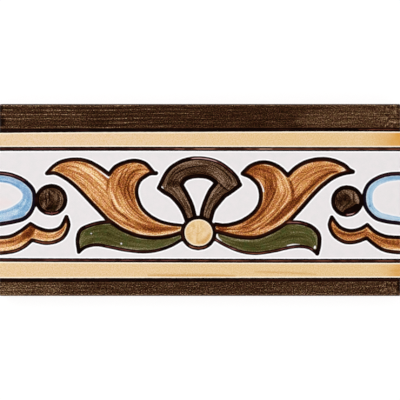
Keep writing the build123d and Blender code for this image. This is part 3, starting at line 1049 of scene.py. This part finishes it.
def glaze_material():
    """The glaze with its painting: colours laid in the order of the brush, then worn at the rim."""
    n = Nodes("painted_glaze")
    p = Painting(n)
    look = field_colour(n, p)
    ring = n.math("MINIMUM", p.blue, n.plus(0.4, n.times(p.ink, -1.0)))
    fills = [
        (cream_colour, p.cream, 0.6, 0.2), (brown_colour, p.brown, -0.2, 0.2), (blue_colour, ring, 0.5, 0.4),
        (green_colour, p.green, 0.6, 0.25), (umber_colour, p.umber, 0.5, 0.25),
        (ochre_colour, p.ochre, 0.6, 0.3),
    ]
    for colour, depth, start, soft in fills:
        look = lay(n, look, colour(n, p), n.plus(depth, p.edge_sway), start, soft)
    look = lay(n, look, srgb(250, 246, 242), p.bare, 0.0, 0.2)
    ink = n.plus(p.ink, n.times(p.edge_sway, 0.45))
    on_cream = n.step(p.cream, 0.0, 0.5)
    look = lay(n, look, srgb(104, 60, 40), ink, -0.12, 0.1, n.plus(0.55, n.times(on_cream, 0.4)))
    look = lay(n, look, ink_colour(n, p), ink, 0.0, 0.08)
    over_rim = n.step(n.plus(p.drop, n.sway(p.spot, 0.5, 0.5)), 1.4, 2.2)
    look = n.mix(over_rim, look, srgb(226, 219, 212))
    n.feed(n.shader.inputs["Base Color"], look)
    painted = n.math("MAXIMUM", n.step(p.brown, 0.0, 0.6), n.step(p.ink, -0.1, 0.2))
    n.feed(n.shader.inputs["Roughness"], n.plus(0.09, n.times(painted, 0.05), n.times(p.grain, 0.05)))
    ripple = n.plus(n.noise(p.spot, 0.35, 2.0), n.times(p.grain, 0.12))
    n.feed(n.shader.inputs["Normal"], n.bump(ripple, 0.05 * MM))
    return n.material


def clay_material():
    """Fired red clay: mottled, gritty, and rubbed pale on the lands of the back."""
    n = Nodes("fired_clay")
    spot = n.add("ShaderNodeTexCoord", {}).outputs["Object"]
    height = n.add("ShaderNodeSeparateXYZ", {0: spot}).outputs["Z"]
    cloud = n.noise(spot, 60.0, 3.0, 0.55)
    grit = n.noise(spot, 1400.0, 3.0, 0.7)
    body = n.mix(n.step(cloud, 0.3, 0.7), srgb(178, 104, 72), srgb(198, 128, 94))
    body = n.mix(n.times(n.step(grit, 0.5, 0.8), 0.5), body, srgb(214, 158, 126))
    body = n.mix(n.times(n.specks(spot, 420.0, 0.28), 0.6), body, srgb(120, 62, 42))
    on_lands = n.less(n.step(height, 0.05 * MM, 0.4 * MM))
    rubbed = n.times(on_lands, n.plus(0.2, n.times(n.step(n.noise(spot, 130.0, 4.0, 0.65), 0.42, 0.62), 0.5)))
    body = n.mix(rubbed, body, srgb(224, 186, 160))
    n.feed(n.shader.inputs["Base Color"], body)
    n.feed(n.shader.inputs["Roughness"], n.plus(0.82, n.times(cloud, 0.12)))
    n.feed(n.shader.inputs["Normal"], n.bump(n.plus(grit, n.times(cloud, 0.8)), 0.12 * MM))
    return n.material


def floor_material():
    """White card: it takes the tile's shadow, and glows a little to the eye so that it stays white."""
    n = Nodes("white_card")
    n.shader.inputs["Base Color"].default_value = srgb(floor_grey, floor_grey, floor_grey)
    n.shader.inputs["Roughness"].default_value = 1.0
    n.shader.inputs["Specular IOR Level"].default_value = 0.0
    n.shader.inputs["Emission Color"].default_value = (1, 1, 1, 1)
    path = n.add("ShaderNodeLightPath", {}).outputs
    seen = n.plus(path["Is Camera Ray"], path["Is Glossy Ray"], path["Is Transmission Ray"])
    n.feed(n.shader.inputs["Emission Strength"], n.times(n.math("MINIMUM", seen, 1.0), floor_glow))
    return n.material


def make_floor():
    """A wide card just under the tile, cut out beneath it so that its back can be seen from below."""
    outer = (6.0, 6.0)
    opening = ((half_length - floor_lap) * MM, (half_width - floor_lap) * MM)
    corners = [(sx * x, sy * y, -floor_gap * MM) for x, y in (outer, opening)
               for sx, sy in ((-1, -1), (1, -1), (1, 1), (-1, 1))]
    mesh = bpy.data.meshes.new("floor")
    mesh.from_pydata(corners, [], [(i, (i + 1) % 4, (i + 1) % 4 + 4, i + 4) for i in range(4)])
    mesh.materials.append(floor_material())
    floor = bpy.data.objects.new("floor", mesh)
    bpy.context.scene.collection.objects.link(floor)


def make_world():
    """Light all round, brightest at mid height, with a dark card overhead so no gloss veils the painting."""
    heights_and_levels = [(0.3, 0.55), (0.5, 1.1), (0.78, 1.1), (0.88, 0.01)]
    world = bpy.data.worlds.new("studio")
    world.use_nodes = True
    bpy.context.scene.world = world
    tree = world.node_tree
    direction = tree.nodes.new("ShaderNodeTexCoord")
    split = tree.nodes.new("ShaderNodeSeparateXYZ")
    shade = tree.nodes.new("ShaderNodeValToRGB")
    stops = shade.color_ramp.elements
    while len(stops) < len(heights_and_levels):
        stops.new(1.0)
    for stop, (height, level) in zip(stops, heights_and_levels):
        stop.position = height
        stop.color = (level, level, level, 1)
    tree.links.new(direction.outputs["Generated"], split.inputs[0])
    tree.links.new(split.outputs["Z"], shade.inputs[0])
    tree.links.new(shade.outputs["Color"], tree.nodes["Background"].inputs["Color"])


def make_lamp(name, place, size, power):
    """A square soft box at this place, turned to the tile."""
    data = bpy.data.lights.new(name, "AREA")
    data.size = size
    data.energy = power
    lamp = bpy.data.objects.new(name, data)
    lamp.location = place
    lamp.rotation_euler = (-Vector(place)).to_track_quat("-Z", "Y").to_euler()
    bpy.context.scene.collection.objects.link(lamp)


def make_camera():
    """Straight above the tile, with the flat of its face filling the width of the picture."""
    data = bpy.data.cameras.new("camera")
    data.lens = 135.0
    distance = 2 * seen_half_length * MM * data.lens / data.sensor_width
    camera = bpy.data.objects.new("camera", data)
    camera.location = (0, 0, (face_height + glaze_proud) * MM + distance)
    bpy.context.scene.collection.objects.link(camera)
    bpy.context.scene.camera = camera


def dress_tile():
    """Gives the clay its own material, and lays the painted glaze over it."""
    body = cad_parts[TILE]
    body.data.materials.clear()
    body.data.materials.append(clay_material())
    glaze = bpy.data.objects.new("painted_glaze", glaze_mesh())
    glaze.data.materials.append(glaze_material())
    bpy.context.scene.collection.objects.link(glaze)
    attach(glaze, "root")


dress_tile()
make_floor()
make_world()
for name, (place, size, power) in LAMPS.items():
    make_lamp(name, place, size, power)
make_camera()
bpy.context.scene.view_settings.view_transform = "Standard"
